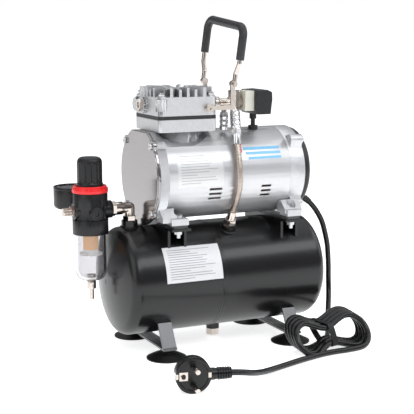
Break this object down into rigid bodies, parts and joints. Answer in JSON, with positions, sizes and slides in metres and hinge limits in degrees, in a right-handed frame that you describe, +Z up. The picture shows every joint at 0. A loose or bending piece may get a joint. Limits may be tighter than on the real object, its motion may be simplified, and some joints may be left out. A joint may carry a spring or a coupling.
{
  "type": "airbrush compressor",
  "caption": "Small piston compressor on a horizontal air tank with suction feet, folding carrying handle, filter regulator with gauge, and a coiled mains cord with plug.",
  "frame": {"origin": "middle of the footprint of the compressor on the surface it stands on, the mains cord and plug left out", "axes": "+X along the tank from the regulator end to the fan end, +Y from the hose side to the back, +Z up"},
  "size_m": [0.3364, 0.2621, 0.3677],
  "materials": {
    "tank_black": "gloss black paint",
    "zinc": "zinc plated",
    "cup_rubber": "soft black rubber",
    "pad_rubber": "grey rubber",
    "cast_alu": "as cast, satin",
    "plate_alu": "polished",
    "silver_paint": "gloss silver",
    "core_steel": "laminated steel",
    "copper": "enamelled copper wire",
    "cover_plastic": "moulded, satin black",
    "machined_steel": "ground",
    "ptfe": "filled seal",
    "gasket": "black gasket",
    "nickel": "nickel plated brass",
    "braid": "woven stainless wire",
    "beige_plastic": "moulded",
    "reg_black": "black die casting, satin",
    "ring_red": "moulded red",
    "dial_white": "printed dial",
    "lens_clear": "clear lens",
    "bowl_clear": "clear polycarbonate",
    "filter_orange": "porous sintered element",
    "white_plastic": "moulded",
    "grip_rubber": "smooth rubber sleeve",
    "cord_pvc": "black cord jacket"
  },
  "bodies": {
    "base": {"tank_shell_left": "tank_black", "tank_shell_right": "tank_black", "drain_plug": "zinc", "foot_bars": "tank_black", "suction_cups": "cup_rubber", "cup_screws": "zinc", "motor_saddles": "tank_black", "motor_pads": "pad_rubber", "motor_bolts": "zinc", "crankcase": "cast_alu", "end_plate": "plate_alu", "end_plate_screws": "zinc", "motor_housing": "silver_paint", "stator_core": "core_steel", "stator_windings": "copper", "rear_bell": "cast_alu", "fan_cover": "cover_plastic", "motor_bearings": "machined_steel", "cylinder_block": "cast_alu", "cylinder_sleeve": "machined_steel", "valve_plate": "gasket", "head_gasket": "gasket", "cylinder_head": "cast_alu", "head_bolts": "zinc", "intake_plug": "nickel", "manifold": "nickel", "hose_fittings": "nickel", "air_hose": "braid", "switch_block": "beige_plastic", "switch_cover": "cover_plastic", "switch_cable": "cord_pvc", "handle_straps": "nickel", "inlet_elbow": "nickel", "regulator_body": "reg_black", "regulator_ring": "ring_red", "regulator_nipple": "nickel", "gauge_case": "reg_black", "gauge_dial": "dial_white", "gauge_lens": "lens_clear", "filter_element": "filter_orange", "filter_baffle": "white_plastic", "cord_gland": "cord_pvc", "cord_drop": "cord_pvc", "cord_hank": "cord_pvc", "cord_lead": "cord_pvc", "plug_body": "cord_pvc", "plug_pins": "nickel"},
    "rotor": {"rotor": "core_steel", "crank": "machined_steel", "cooling_fan": "cover_plastic"},
    "piston": {"piston_rod": "cast_alu", "piston_seal": "ptfe"},
    "handle": {"handle_bail": "nickel", "handle_grip": "grip_rubber"},
    "knob": {"regulator_knob": "reg_black"},
    "seat": {"spring_seat": "machined_steel"},
    "bowl": {"filter_bowl": "bowl_clear"},
    "drain": {"bowl_drain": "nickel"},
    "needle": {"gauge_needle": "cover_plastic"},
    "button": {"switch_button": "cover_plastic"}
  },
  "joints": [
    {"name": "motor_spin", "type": "hinge", "parent": "base", "child": "rotor", "pos_m": [0.02419, 0, 0.194], "axis": [1, 0, 0], "continuous": true},
    {"name": "piston_stroke", "type": "slide", "parent": "base", "child": "piston", "axis": [0, 0, 1], "range_m": [-0.006, 0.006]},
    {"name": "handle_fold", "type": "hinge", "parent": "base", "child": "handle", "pos_m": [0.03319, 0, 0.294], "axis": [0, 1, 0], "range_deg": [-90, 80]},
    {"name": "knob_turn", "type": "hinge", "parent": "base", "child": "knob", "pos_m": [-0.12031, 0, 0.2], "axis": [0, 0, 1], "range_deg": [-540, 540]},
    {"name": "seat_slide", "type": "slide", "parent": "base", "child": "seat", "axis": [0, 0, 1], "range_m": [-0.0019, 0.0019]},
    {"name": "bowl_twist", "type": "hinge", "parent": "base", "child": "bowl", "pos_m": [-0.12031, 0, 0.11], "axis": [0, 0, 1], "range_deg": [0, 60]},
    {"name": "drain_turn", "type": "hinge", "parent": "bowl", "child": "drain", "pos_m": [-0.12031, 0, 0.08], "axis": [0, 0, 1], "range_deg": [0, 90]},
    {"name": "needle_swing", "type": "hinge", "parent": "base", "child": "needle", "pos_m": [-0.12481, 0.044, 0.174], "axis": [0, 0, 1], "range_deg": [-270, 0]},
    {"name": "button_press", "type": "slide", "parent": "base", "child": "button", "axis": [1, 0, 0], "range_m": [-0.002, 0], "stiffness_N_per_m": 400}
  ],
  "couplings": [
    {"joint": "seat_slide", "follows": "knob_turn", "m_per_rad": 0.00019894}
  ]
}
